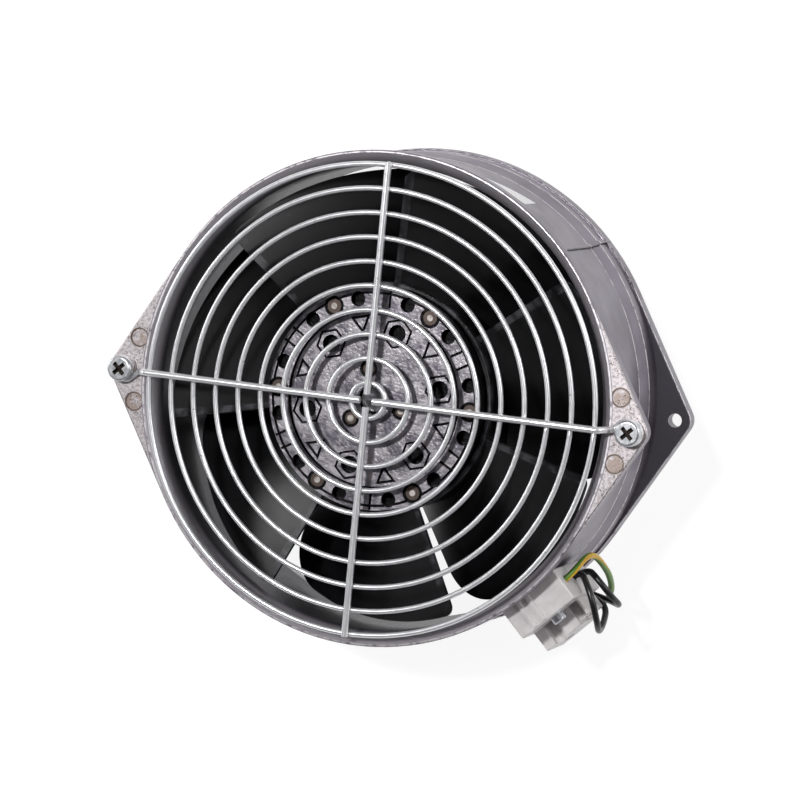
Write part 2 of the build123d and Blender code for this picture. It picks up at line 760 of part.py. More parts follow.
# Terminal strip: base with wire entries, a stepped tower and wells for the clamp screws
pole_zs = [first_pole_z - pole_pitch * k for k in range(pole_count_strip)]
tower_front_z = terminal_front_z - tower_setback
tower_mid_z = (tower_front_z + terminal_rear_z) / 2
tower_len_z = tower_front_z - terminal_rear_z
strip_end_plane = Plane(origin=(0, 0, 0), x_dir=strip_plane.z_dir, z_dir=strip_plane.x_dir)
entry_plane = strip_end_plane.offset(-terminal_len / 2)
clamp_plane = strip_end_plane.offset(-clamp_len / 2)
pole_axes = [(wire_entry_v, -z) for z in pole_zs]
screw_us = (-clamp_screw_u, clamp_screw_u)
with BuildPart() as terminal_strip:
    with BuildSketch(strip_plane.offset(terminal_base_v)):
        with Locations((0, strip_mid_z)):
            Rectangle(terminal_len, strip_w)
    extrude(amount=terminal_shoulder_v - terminal_base_v)
    with BuildSketch(strip_plane.offset(terminal_shoulder_v)):
        with Locations((-tower_trim / 2, tower_mid_z)):
            Rectangle(terminal_len - tower_trim, tower_len_z)
    extrude(amount=terminal_top_v - terminal_shoulder_v)
    with BuildSketch(strip_plane.offset(terminal_top_v)):
        with Locations((terminal_step_u + terminal_len / 2, tower_mid_z)):
            Rectangle(terminal_len, tower_len_z)
    extrude(amount=-terminal_step, mode=Mode.SUBTRACT)
    fillet(terminal_strip.edges(), terminal_round)
    with BuildSketch(strip_plane.offset(terminal_top_v)):
        with Locations((tower_groove_u, tower_front_z)):
            Rectangle(tower_groove_w, 2 * tower_groove_depth)
    extrude(amount=terminal_shoulder_v - terminal_top_v, mode=Mode.SUBTRACT)
    with BuildSketch(strip_plane.offset(terminal_base_v + terminal_round)):
        for rib_u in rib_us:
            with Locations((rib_u, terminal_front_z)):
                Rectangle(rib_w, 2 * rib_proud)
    extrude(amount=terminal_shoulder_v - terminal_base_v - 2 * terminal_round)
    with BuildSketch(entry_plane):
        with Locations(*pole_axes):
            Circle(wire_entry_r)
    extrude(amount=terminal_len, mode=Mode.SUBTRACT)
    with BuildSketch(clamp_plane):
        with Locations(*pole_axes):
            Circle(clamp_r + seat_clearance)
    extrude(amount=clamp_len, mode=Mode.SUBTRACT)
    with BuildSketch(strip_plane.offset(wire_entry_v)):
        with Locations(*[(u, z) for u in screw_us for z in pole_zs]):
            Circle(screw_well_r)
    extrude(amount=terminal_top_v - wire_entry_v, mode=Mode.SUBTRACT)
    with BuildSketch(strip_plane.offset(terminal_base_v)):
        with Locations((0, fixing_z)):
            Circle(fixing_screw_r + seat_clearance)
    extrude(amount=terminal_shoulder_v - terminal_base_v, mode=Mode.SUBTRACT)
write_part(terminal_strip, "terminal_strip")

with BuildPart() as terminal_clamps:
    with BuildSketch(clamp_plane):
        with Locations(*pole_axes):
            Circle(clamp_r)
            Circle(clamp_bore_r, mode=Mode.SUBTRACT)
    extrude(amount=clamp_len)
    with BuildSketch(strip_plane.offset(wire_entry_v)):
        with Locations(*[(u, z) for u in screw_us for z in pole_zs]):
            Circle(clamp_screw_r + seat_clearance)
    extrude(amount=clamp_r, mode=Mode.SUBTRACT)
write_part(terminal_clamps, "terminal_clamps")

with BuildPart() as clamp_screws:
    with BuildSketch(strip_plane.offset(wire_entry_v + clamp_bore_r)):
        with Locations(*[(u, z) for u in screw_us for z in pole_zs]):
            Circle(clamp_screw_r)
    extrude(amount=clamp_screw_len)
    with BuildSketch(strip_plane.offset(wire_entry_v + clamp_bore_r + clamp_screw_len)):
        with Locations(*[(u, z) for u in screw_us for z in pole_zs]):
            Rectangle(2 * clamp_screw_r, clamp_slot_w)
    extrude(amount=-clamp_slot_depth, mode=Mode.SUBTRACT)
write_part(clamp_screws, "clamp_screws")

with BuildPart() as fixing_screw:
    with BuildSketch(strip_plane.offset(terminal_shoulder_v + seat_clearance)):
        with Locations((0, fixing_z)):
            Circle(fixing_head_r)
    extrude(amount=fixing_head_h)
    fillet(fixing_screw.faces().sort_by(Axis((0, 0, 0), strip_plane.z_dir))[-1].edges(), fixing_head_round)
    with BuildSketch(strip_plane.offset(terminal_shoulder_v + seat_clearance)):
        with Locations((0, fixing_z)):
            Circle(fixing_screw_r)
    extrude(amount=pad_top_v - fixing_bite + seat_clearance - terminal_shoulder_v)
    with BuildSketch(strip_plane.offset(terminal_shoulder_v + fixing_head_h)):
        with Locations((0, fixing_z)):
            Rectangle(3 * fixing_head_r, fixing_slot_w)
    extrude(amount=-fixing_slot_depth, mode=Mode.SUBTRACT)
write_part(fixing_screw, "fixing_screw")

# Grommet in the wall, with the three leads side by side in its bore
lead_circle_r = (lead_r + lead_gap / 2) / math.sin(math.pi / lead_count)
low_lead_z = lead_hole_z - lead_circle_r / 2
high_lead_z = lead_hole_z + lead_circle_r
side_lead_u = lead_r + lead_gap / 2
grommet_bore_r = lead_circle_r + lead_r + lead_gap
lip_v = flare_band_r + lead_gap
with BuildPart() as lead_grommet:
    with BuildSketch(lead_wall_plane.offset(lip_v)):
        Circle(grommet_lip_r)
    extrude(amount=grommet_lip_t)
    with BuildSketch(lead_wall_plane.offset(lip_v)):
        Circle(lead_hole_r - seat_clearance)
    extrude(amount=-grommet_depth)
    with BuildSketch(lead_wall_plane.offset(lip_v - grommet_depth)):
        Circle(grommet_bore_r)
    extrude(amount=grommet_depth + grommet_lip_t, mode=Mode.SUBTRACT)
write_part(lead_grommet, "lead_grommet")

# Earth tag and its screw on the stator flange
flange_top_z = flange_seat_z + flange_t
with BuildPart() as earth_tag:
    with BuildSketch(Plane.XY.offset(flange_top_z)):
        with Locations(earth_tag_place):
            Circle(earth_tag_r)
            Circle(earth_screw_r + seat_clearance, mode=Mode.SUBTRACT)
    extrude(amount=earth_tag_t)
write_part(earth_tag, "earth_tag")

with BuildPart() as earth_screw:
    with BuildSketch(Plane.XY.offset(flange_top_z + earth_tag_t)):
        with Locations(earth_tag_place):
            Circle(earth_head_r)
    extrude(amount=earth_head_h)
    with BuildSketch(Plane.XY.offset(flange_top_z + earth_tag_t)):
        with Locations(earth_tag_place):
            Circle(earth_screw_r)
    extrude(amount=-earth_screw_len)
write_part(earth_screw, "earth_screw")

# Leads: each runs from its clamp, round its loop, through the grommet and the trough to the motor
clamp_face_u = clamp_len / 2
loop_u = terminal_len / 2 + 2.8
coil_rear_z = coil_window_z - coil_build
coil_lead_v = (coil_in_r + coil_out_r) / 2
lead_routes = {
    "earth_lead": [
        (clamp_face_u, wire_entry_v, pole_zs[0]),
        (loop_u, wire_entry_v, pole_zs[0]),
        (18.6, 75.8, 39.5),
        (19.3, 76.6, 33.5),
        (17.6, 80.3, 27.0),
        (15.0, 83.2, 20.0),
        (10.6, 86.3, 12.3),
        (4.6, 87.5, 6.1),
        (0.1, 84.3, 5.6),
        (-side_lead_u, 79.0, low_lead_z),
        (-side_lead_u, 67.5, low_lead_z),
        (-1.45, 53.0, 6.5),
        (-1.75, 39.5, 7.9),
        (-1.8, 29.6, 8.9),
        (-6.15, 25.75, 8.9),
    ],
    "black_lead_1": [
        (clamp_face_u, wire_entry_v, pole_zs[1]),
        (loop_u, wire_entry_v, pole_zs[1]),
        (13.6, 82.0, 39.0),
        (12.0, 87.6, 40.5),
        (8.3, 93.6, 38.5),
        (5.0, 95.6, 32.5),
        (6.3, 93.3, 25.0),
        (7.4, 89.9, 18.0),
        (5.2, 85.1, 13.0),
        (0.0, 79.4, high_lead_z),
        (0.0, 67.5, high_lead_z),
        (0.2, 53.0, 8.6),
        (0.05, 39.5, 9.9),
        (0.0, 29.8, 10.6),
        (-1.5, coil_lead_v, 10.2),
        (-1.5, coil_lead_v, coil_rear_z),
    ],
    "black_lead_2": [
        (clamp_face_u, wire_entry_v, pole_zs[2]),
        (loop_u, wire_entry_v, pole_zs[2]),
        (14.2, 82.8, 29.5),
        (13.8, 88.8, 28.0),
        (12.4, 92.6, 21.5),
        (8.8, 89.0, 14.2),
        (5.2, 84.9, 10.1),
        (side_lead_u, 79.2, low_lead_z),
        (side_lead_u, 67.5, low_lead_z),
        (1.45, 53.0, 6.5),
        (1.75, 39.5, 7.9),
        (1.8, 29.8, 8.9),
        (1.5, coil_lead_v, 9.6),
        (1.5, coil_lead_v, coil_rear_z),
    ],
}


def corner_radii(points):
    """Give each corner of a route the largest even arc that its two runs allow."""
    radii = []
    for before, corner, after in zip(points, points[1:], points[2:]):
        run_in = corner - before
        run_out = after - corner
        half_turn = math.radians(run_in.get_angle(run_out)) / 2
        shorter = min(run_in.length, run_out.length)
        radii.append(lead_corner_share * shorter / math.tan(half_turn))
    return radii


for label, route in lead_routes.items():
    points = [Vector(*strip_to_xy(u, v), z) for u, v, z in route]
    radii = corner_radii(points)
    with BuildPart() as lead:
        with BuildLine() as lead_path:
            FilletPolyline(*points, radius=radii)
        with BuildSketch(Plane(origin=points[0], z_dir=points[1] - points[0])):
            Circle(lead_r)
        sweep()
    length = lead_path.wires()[0].length
    expected = math.pi * lead_r**2 * length
    print(label, "length", round(length, 1), "volume share", round(lead.part.volume / expected, 4))
    print(label, "radii", [round(r, 1) for r in radii])
    write_part(lead, label)
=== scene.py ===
"""Dressed model of a round axial fan: cast housing, outer rotor motor, blades, wire guard, strip and leads.

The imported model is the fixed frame. This script gives every node its finish, adds the leads, the bare
label and the small weld beads of the guard, and sets up a plain studio with the camera of the photograph.
"""

import logging
import math
from dataclasses import dataclass, field
from enum import Enum
from typing import Any, Optional, Sequence

import bpy
from mathutils import Matrix, Vector

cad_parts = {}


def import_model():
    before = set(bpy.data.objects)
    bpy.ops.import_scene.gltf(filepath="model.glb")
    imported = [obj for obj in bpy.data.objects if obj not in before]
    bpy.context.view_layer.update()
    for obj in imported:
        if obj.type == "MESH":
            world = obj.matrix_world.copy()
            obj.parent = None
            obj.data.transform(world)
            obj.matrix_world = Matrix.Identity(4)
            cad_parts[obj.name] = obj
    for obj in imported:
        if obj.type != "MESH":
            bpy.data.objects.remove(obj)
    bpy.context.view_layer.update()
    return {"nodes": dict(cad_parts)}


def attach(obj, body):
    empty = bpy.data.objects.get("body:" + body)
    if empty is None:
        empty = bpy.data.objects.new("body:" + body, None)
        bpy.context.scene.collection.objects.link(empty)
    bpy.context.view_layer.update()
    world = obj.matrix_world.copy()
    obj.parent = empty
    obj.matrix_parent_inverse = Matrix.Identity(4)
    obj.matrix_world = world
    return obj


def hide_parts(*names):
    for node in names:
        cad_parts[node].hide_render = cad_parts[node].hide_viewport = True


LOG = logging.getLogger("axial_fan")
MM = 0.001


def linear(colour: str) -> tuple[float, float, float, float]:
    """Turn an sRGB hex colour into a linear one.

    Args:
        colour: six hex digits, such as "a0a0a4".

    Returns:
        Red, green, blue and alpha, linear.
    """
    parts = [int(colour[k : k + 2], 16) / 255 for k in (0, 2, 4)]
    red, green, blue = (p / 12.92 if p <= 0.04045 else ((p + 0.055) / 1.055) ** 2.4 for p in parts)
    return (red, green, blue, 1.0)


def add_node(
    tree: bpy.types.NodeTree, kind: str, inputs: Optional[dict[Any, Any]] = None, **settings: Any
) -> bpy.types.Node:
    """Add one node, set its own settings, and fill or link its inputs.

    Args:
        tree: the node tree that gets the node.
        kind: the node's type name without its ShaderNode prefix.
        inputs: input name or number, with a value or the output socket that feeds it.
        **settings: attributes of the node itself.

    Returns:
        The new node.
    """
    made = tree.nodes.new("ShaderNode" + kind)
    for name, value in settings.items():
        setattr(made, name, value)
    for name, value in (inputs or {}).items():
        socket = made.inputs[name]
        if isinstance(value, bpy.types.NodeSocket):
            tree.links.new(value, socket)
        else:
            socket.default_value = value
    return made


def per_metre(size_mm: float) -> float:
    """Give the texture scale that makes one feature this many millimetres wide."""
    return 1.0 / (size_mm * MM)


@dataclass(frozen=True)
class Finish:
    """A plain finish: one material with an even grain in its colour, gloss and relief.

    Attributes:
        name: what the real material is.
        colour: its main colour, sRGB hex.
        shade: the colour of its darker spots, sRGB hex.
        metallic: 1 for bare metal, 0 for paint, plastic and rubber.
        roughness: the middle of its roughness.
        spread: how far the roughness wanders on each side.
        grain_mm: width of one grain of the colour.
        relief_mm: width of one grain of the relief.
        relief: strength of the relief, 0 to 1.
        coat: weight of a clear coat.
        coat_roughness: roughness of that coat.
        milky: share of the light that enters and comes out again nearby.
    """

    name: str
    colour: str
    shade: str
    metallic: float = 0.0
    roughness: float = 0.5
    spread: float = 0.06
    grain_mm: float = 2.0
    relief_mm: float = 0.6
    relief: float = 0.15
    coat: float = 0.0
    coat_roughness: float = 0.1
    milky: float = 0.0

    def make(self) -> bpy.types.Material:
        """Build the material."""
        material = bpy.data.materials.new(self.name)
        material.use_nodes = True
        tree = material.node_tree
        shader = tree.nodes["Principled BSDF"]
        shader.inputs["Metallic"].default_value = self.metallic
        shader.inputs["Coat Weight"].default_value = self.coat
        shader.inputs["Coat Roughness"].default_value = self.coat_roughness
        shader.inputs["Subsurface Weight"].default_value = self.milky
        shader.inputs["Subsurface Radius"].default_value = (1.0, 0.9, 0.85)
        shader.inputs["Subsurface Scale"].default_value = 2.0 * MM
        place = add_node(tree, "TexCoord").outputs["Object"]
        colour, rough, height = self.dress(tree, place)
        tree.links.new(colour, shader.inputs["Base Color"])
        tree.links.new(rough, shader.inputs["Roughness"])
        bump = add_node(tree, "Bump", {"Strength": self.relief, "Distance": 0.1 * MM, "Height": height})
        tree.links.new(bump.outputs["Normal"], shader.inputs["Normal"])
        return material

    def dress(
        self, tree: bpy.types.NodeTree, place: bpy.types.NodeSocket
    ) -> tuple[bpy.types.NodeSocket, bpy.types.NodeSocket, bpy.types.NodeSocket]:
        """Lay out the pattern of the finish.

        Args:
            tree: the material's node tree.
            place: the object coordinates.

        Returns:
            The sockets of the colour, the roughness and the height.
        """
        grain = self.noise(tree, place, self.grain_mm, 4.0)
        height = self.noise(tree, place, self.relief_mm, 3.0)
        colour = self.mix(tree, self.spots(tree, grain, 0.35, 0.65), linear(self.shade), linear(self.colour))
        return colour, self.gloss(tree, grain), height

    def noise(
        self, tree: bpy.types.NodeTree, place: bpy.types.NodeSocket, size_mm: float, detail: float
    ) -> bpy.types.NodeSocket:
        """Give a soft noise whose patches are this many millimetres wide."""
        made = add_node(
            tree, "TexNoise", {"Vector": place, "Scale": per_metre(size_mm), "Detail": detail}, noise_dimensions="3D"
        )
        return made.outputs["Fac"]

    def spots(
        self, tree: bpy.types.NodeTree, value: bpy.types.NodeSocket, low: float, high: float
    ) -> bpy.types.NodeSocket:
        """Stretch a value so that low becomes 0 and high becomes 1."""
        made = add_node(
            tree, "MapRange", {"Value": value, "From Min": low, "From Max": high}, interpolation_type="SMOOTHSTEP"
        )
        return made.outputs["Result"]

    def mix(self, tree: bpy.types.NodeTree, share: Any, first: Any, second: Any) -> bpy.types.NodeSocket:
        """Blend two colours by a share of the second."""
        made = add_node(tree, "Mix", {0: share, 6: first, 7: second}, data_type="RGBA")
        return made.outputs[2]

    def sums(self, tree: bpy.types.NodeTree, kind: str, first: Any, second: Any = 0.0) -> bpy.types.NodeSocket:
        """Do one sum on two values."""
        return add_node(tree, "Math", {0: first, 1: second}, operation=kind).outputs["Value"]

    def band(
        self, tree: bpy.types.NodeTree, value: bpy.types.NodeSocket, middle_mm: float, half_mm: float
    ) -> bpy.types.NodeSocket:
        """Give 1 on a narrow band of a length and 0 away from it."""
        off = self.sums(tree, "ABSOLUTE", self.sums(tree, "SUBTRACT", value, middle_mm * MM))
        return self.spots(tree, off, half_mm * MM, 0.4 * half_mm * MM)

    def distance(self, tree: bpy.types.NodeTree, first: Any, second: Any) -> bpy.types.NodeSocket:
        """Give the length of a vector from its two flat parts."""
        flat = add_node(tree, "CombineXYZ", {"X": first, "Y": second})
        return add_node(tree, "VectorMath", {0: flat.outputs["Vector"]}, operation="LENGTH").outputs["Value"]

    def gloss(self, tree: bpy.types.NodeTree, value: bpy.types.NodeSocket) -> bpy.types.NodeSocket:
        """Let the roughness wander with a value."""
        made = add_node(
            tree,
            "MapRange",
            {"Value": value, "To Min": self.roughness - self.spread, "To Max": self.roughness + self.spread},
        )
        return made.outputs["Result"]


@dataclass(frozen=True)
class DieCast(Finish):
    """Pressure die cast aluminium: cloudy skin, painted shade in the duct, painted light on the front mouth, edges
    bright from wear and a painted highlight, and speckled front ears.

    Attributes:
        bare: the pale metal of the front ears.
        speck: the dark grit on them.
        stain: the brownish floor and outline of the ejector marks.
        duct_painted_shade: the painted shade in the middle of the duct.
        rear_shade: the darker skin of the rear ears.
        mouth_painted_light: painted light, a lighter tone on the front mouth, whose metal otherwise reflects the dark
            world.
        worn: the bright metal of the edges, partly worn bare metal and partly a painted highlight on edges too sharp to
            catch one.
        mark_mm: place of the four ejector marks, folded into one quarter.
        seam_angle: direction of the parting line, in degrees.
    """

    bare: str = "cdc6c8"
    speck: str = "4c423d"
    stain: str = "75675f"
    duct_painted_shade: str = "3a393f"
    rear_shade: str = "8b8890"
    mouth_painted_light: str = "b7b2b8"
    worn: str = "d6d2d4"
    mark_mm: tuple[float, float, float] = (76.9, 9.9, 2.75)
    seam_angle: float = 44.3

    def dress(
        self, tree: bpy.types.NodeTree, place: bpy.types.NodeSocket
    ) -> tuple[bpy.types.NodeSocket, bpy.types.NodeSocket, bpy.types.NodeSocket]:
        """Lay out the skin, the painted shade of the duct, the painted light of the front mouth, the worn and
        highlighted edges, the seam and the front ears.
        """
        axes = add_node(tree, "SeparateXYZ", {"Vector": place})
        x, y, z = (axes.outputs[name] for name in "XYZ")
        radius = self.distance(tree, x, y)
        cloud = self.noise(tree, place, 16.0, 5.0)
        grain = self.noise(tree, place, self.grain_mm, 4.0)
        skin = self.mix(tree, self.spots(tree, cloud, 0.3, 0.7), linear(self.shade), linear(self.colour))
        on_ear = self.sums(tree, "GREATER_THAN", radius, 75.05 * MM)
        behind = self.sums(tree, "MULTIPLY", self.sums(tree, "LESS_THAN", z, 5.2 * MM), on_ear)
        whole = self.mix(tree, behind, skin, linear(self.rear_shade))
        # painted light: a lighter tone on the front mouth, whose metal otherwise reflects the dark world
        mouth = self.sums(
            tree, "MULTIPLY", self.spots(tree, z, 48.5 * MM, 51.5 * MM), self.sums(tree, "LESS_THAN", radius, 74.2 * MM)
        )
        mouth_lit = self.mix(tree, mouth, whole, linear(self.mouth_painted_light))
        # painted shade darkens the duct between its two mouths
        duct_shaded = self.mix(tree, self.inside(tree, radius, z), mouth_lit, linear(self.duct_painted_shade))
        seam = self.sums(tree, "MULTIPLY", self.seam(tree, x, y, grain, radius), self.sums(tree, "LESS_THAN", z, 50.4 * MM))
        seamed = self.mix(tree, seam, duct_shaded, linear("2b292d"))
        # bright edges: partly worn bare metal, partly a painted highlight
        edge_wear_and_highlight = self.mix(tree, self.edges(tree, radius, z, grain), seamed, linear(self.worn))
        front = self.sums(tree, "GREATER_THAN", z, 54.5 * MM)
        colour = self.mix(tree, self.sums(tree, "MULTIPLY", front, on_ear), edge_wear_and_highlight, self.ear(tree, place, x, y))
        return colour, self.gloss(tree, grain), self.noise(tree, place, self.relief_mm, 4.0)

    def inside(
        self, tree: bpy.types.NodeTree, radius: bpy.types.NodeSocket, z: bpy.types.NodeSocket
    ) -> bpy.types.NodeSocket:
        """Give the share of painted shade, which lies in the duct between its two mouths."""
        near = self.spots(tree, radius, 71.6 * MM, 70.9 * MM)
        below = self.spots(tree, z, 53.0 * MM, 46.0 * MM)
        above = self.spots(tree, z, 11.0 * MM, 15.0 * MM)
        return self.sums(tree, "MULTIPLY", near, self.sums(tree, "MULTIPLY", below, above))

    def seam(
        self,
        tree: bpy.types.NodeTree,
        x: bpy.types.NodeSocket,
        y: bpy.types.NodeSocket,
        grain: bpy.types.NodeSocket,
        radius: bpy.types.NodeSocket,
    ) -> bpy.types.NodeSocket:
        """Give the dark thin line beside the parting rib on the outside of the wall."""
        turn = math.radians(self.seam_angle)
        off = self.sums(
            tree,
            "SUBTRACT",
            self.sums(tree, "MULTIPLY", y, math.cos(turn)),
            self.sums(tree, "MULTIPLY", x, math.sin(turn)),
        )
        wobble = self.sums(tree, "MULTIPLY", self.sums(tree, "SUBTRACT", grain, 0.5), 1.4 * MM)
        line = self.band(tree, self.sums(tree, "ADD", off, wobble), -0.6, 0.34)
        outside = self.sums(tree, "GREATER_THAN", radius, 72.3 * MM)
        return self.sums(tree, "MULTIPLY", self.sums(tree, "MULTIPLY", line, outside), 0.85)

    def edges(
        self,
        tree: bpy.types.NodeTree,
        radius: bpy.types.NodeSocket,
        z: bpy.types.NodeSocket,
        grain: bpy.types.NodeSocket,
    ) -> bpy.types.NodeSocket:
        """Give the share of the bright edge colour on the lip, the rims and the bead of the flare: partly wear, partly
        a painted highlight.
        """
        lip = self.sums(tree, "MULTIPLY", self.band(tree, z, 54.85, 0.5), self.band(tree, radius, 74.45, 0.45))
        outside = self.sums(tree, "GREATER_THAN", radius, 72.55 * MM)
        rims = self.sums(tree, "MAXIMUM", self.band(tree, z, 50.8, 0.22), self.band(tree, z, 4.7, 0.22))
        bead = self.sums(tree, "MAXIMUM", self.band(tree, z, 11.0, 0.45), self.band(tree, z, 0.35, 0.4))
        beads = self.sums(tree, "MAXIMUM", bead, self.band(tree, z, 17.0, 0.35))
        worn = self.sums(tree, "MULTIPLY", self.sums(tree, "MAXIMUM", rims, beads), outside)
        patchy = self.spots(tree, grain, 0.3, 0.55)
        return self.sums(tree, "MULTIPLY", self.sums(tree, "MAXIMUM", lip, worn), patchy)

    def ear(
        self,
        tree: bpy.types.NodeTree,
        place: bpy.types.NodeSocket,
        x: bpy.types.NodeSocket,
        y: bpy.types.NodeSocket,
    ) -> bpy.types.NodeSocket:
        """Give the pale speckled metal of the front ears with their ejector marks."""
        across, along, mark = self.mark_mm
        side = self.sums(tree, "SUBTRACT", self.sums(tree, "ABSOLUTE", x), across * MM)
        rise = self.sums(tree, "SUBTRACT", self.sums(tree, "ABSOLUTE", y), along * MM)
        reach = self.distance(tree, side, rise)
        grit = self.spots(tree, self.noise(tree, place, 0.4, 3.0), 0.53, 0.66)
        cluster = self.spots(tree, self.noise(tree, place, 6.0, 3.0), 0.36, 0.66)
        faint = self.spots(tree, self.noise(tree, place, 0.9, 5.0), 0.3, 0.6)
        pale = self.mix(tree, faint, linear("a0989a"), linear(self.bare))
        inner = self.spots(tree, reach, (mark - 0.1) * MM, (mark - 0.5) * MM)
        dirty = self.spots(tree, self.noise(tree, place, 4.0, 3.0), 0.42, 0.56)
        floor = self.mix(tree, self.sums(tree, "MULTIPLY", inner, dirty), pale, linear("a5968f"))
        ringed = self.mix(tree, self.band(tree, reach, mark, 0.4), floor, linear(self.stain))
        return self.mix(tree, self.sums(tree, "MULTIPLY", grit, cluster), ringed, linear(self.speck))


@dataclass(frozen=True)
class Laminated(Finish):
    """Stacked electrical sheet, seen as fine lines across the shaft."""

    sheet_mm: float = 0.5

    def dress(
        self, tree: bpy.types.NodeTree, place: bpy.types.NodeSocket
    ) -> tuple[bpy.types.NodeSocket, bpy.types.NodeSocket, bpy.types.NodeSocket]:
        """Lay out one dark line for each sheet."""
        waves = add_node(
            tree,
            "TexWave",
            {"Vector": place, "Scale": per_metre(self.sheet_mm) / (2 * math.pi), "Distortion": 0.0},
            bands_direction="Z",
        ).outputs["Fac"]
        grain = self.noise(tree, place, self.grain_mm, 3.0)
        colour = self.mix(tree, waves, linear(self.shade), linear(self.colour))
        return colour, self.gloss(tree, grain), waves


@dataclass(frozen=True)
class Wound(Finish):
    """Enamelled copper wire wound in close turns round each stator pole."""

    wire_mm: float = 0.5

    def dress(
        self, tree: bpy.types.NodeTree, place: bpy.types.NodeSocket
    ) -> tuple[bpy.types.NodeSocket, bpy.types.NodeSocket, bpy.types.NodeSocket]:
        """Lay out the turns as rings about the shaft, a little uneven."""
        axes = add_node(tree, "SeparateXYZ", {"Vector": place})
        radius = self.distance(tree, axes.outputs["X"], axes.outputs["Y"])
        wobble = self.sums(tree, "MULTIPLY", self.noise(tree, place, 5.0, 2.0), 1.2 * MM)
        turns = self.sums(tree, "MULTIPLY", self.sums(tree, "ADD", radius, wobble), per_metre(self.wire_mm) * math.pi)
        ridge = self.sums(tree, "ABSOLUTE", self.sums(tree, "SINE", turns))
        colour = self.mix(tree, ridge, linear(self.shade), linear(self.colour))
        return colour, self.gloss(tree, ridge), ridge


@dataclass(frozen=True)
class SpotWelded(Finish):
    """Bright nickel plated steel wire with brown heat marks where rings and arms are welded."""

    heat: str = "9a8a7a"
    reach_mm: float = 2.2

    def dress(
        self, tree: bpy.types.NodeTree, place: bpy.types.NodeSocket
    ) -> tuple[bpy.types.NodeSocket, bpy.types.NodeSocket, bpy.types.NodeSocket]:
        """Lay out the plating and a heat mark beside each arm."""
        axes = add_node(tree, "SeparateXYZ", {"Vector": place})
        beside_x = self.sums(tree, "ABSOLUTE", axes.outputs["X"])
        beside_y = self.sums(tree, "ABSOLUTE", axes.outputs["Y"])
        nearest = self.sums(tree, "MINIMUM", beside_x, beside_y)
        grain = self.noise(tree, place, self.grain_mm, 4.0)
        near = self.spots(tree, nearest, self.reach_mm * MM, 0.4 * MM)
        patch = self.spots(tree, grain, 0.42, 0.62)
        behind = self.spots(tree, axes.outputs["Z"], 60.2 * MM, 59.4 * MM)
        marks = self.sums(tree, "MULTIPLY", self.sums(tree, "MULTIPLY", near, patch), behind)
        plate = self.mix(tree, grain, linear(self.shade), linear(self.colour))
        colour = self.mix(tree, self.sums(tree, "MULTIPLY", marks, 0.7), plate, linear(self.heat))
        return colour, self.gloss(tree, grain), self.noise(tree, place, self.relief_mm, 2.0)


@dataclass(frozen=True)
class RotorLacquer(Finish):
    """Die cast rotor face, turned flat on top and lacquered, with painted black shade in the recesses below the turned
    plane.
    """

    recess: str = "0e0d0f"
    face_mm: float = 54.3

    def dress(
        self, tree: bpy.types.NodeTree, place: bpy.types.NodeSocket
    ) -> tuple[bpy.types.NodeSocket, bpy.types.NodeSocket, bpy.types.NodeSocket]:
        """Lay out the bright turned plane, its cloudy cast skin and the painted shade in the grooves."""
        axes = add_node(tree, "SeparateXYZ", {"Vector": place})
        cloud = self.noise(tree, place, 4.0, 6.0)
        skin = self.mix(tree, self.spots(tree, cloud, 0.38, 0.6), linear(self.shade), linear(self.colour))
        # painted shade: the grooves below the turned plane go near black
        low = self.spots(tree, axes.outputs["Z"], (self.face_mm - 0.05) * MM, (self.face_mm - 0.45) * MM)
        colour = self.mix(tree, low, skin, linear(self.recess))
        return colour, self.gloss(tree, cloud), self.noise(tree, place, self.relief_mm, 3.0)


@dataclass(frozen=True)
class Sunk(Finish):
    """A finish whose low places are dark, such as the recess of a screw head or the dish under a pin.

    Attributes:
        dark: the colour of the low places.
        top_mm: height below which it starts.
        drop_mm: how far down it takes to get fully dark.
        reach_mm: how far from the line that joins the two fasteners' middles it may lie.
    """

    dark: str = "2c2622"
    top_mm: float = 59.5
    drop_mm: float = 0.3
    centre_mm: float = 0.0
    reach_mm: float = 500.0

    def dress(
        self, tree: bpy.types.NodeTree, place: bpy.types.NodeSocket
    ) -> tuple[bpy.types.NodeSocket, bpy.types.NodeSocket, bpy.types.NodeSocket]:
        """Lay out the plating and the dark low places."""
        axes = add_node(tree, "SeparateXYZ", {"Vector": place})
        side = self.sums(
            tree, "SUBTRACT", self.sums(tree, "ABSOLUTE", axes.outputs["X"]), self.centre_mm * MM
        )
        reach = self.distance(tree, side, axes.outputs["Y"])
        near = self.sums(tree, "LESS_THAN", reach, self.reach_mm * MM)
        low = self.spots(tree, axes.outputs["Z"], self.top_mm * MM, (self.top_mm - self.drop_mm) * MM)
        colour, rough, height = super().dress(tree, place)
        return self.mix(tree, self.sums(tree, "MULTIPLY", low, near), colour, linear(self.dark)), rough, height


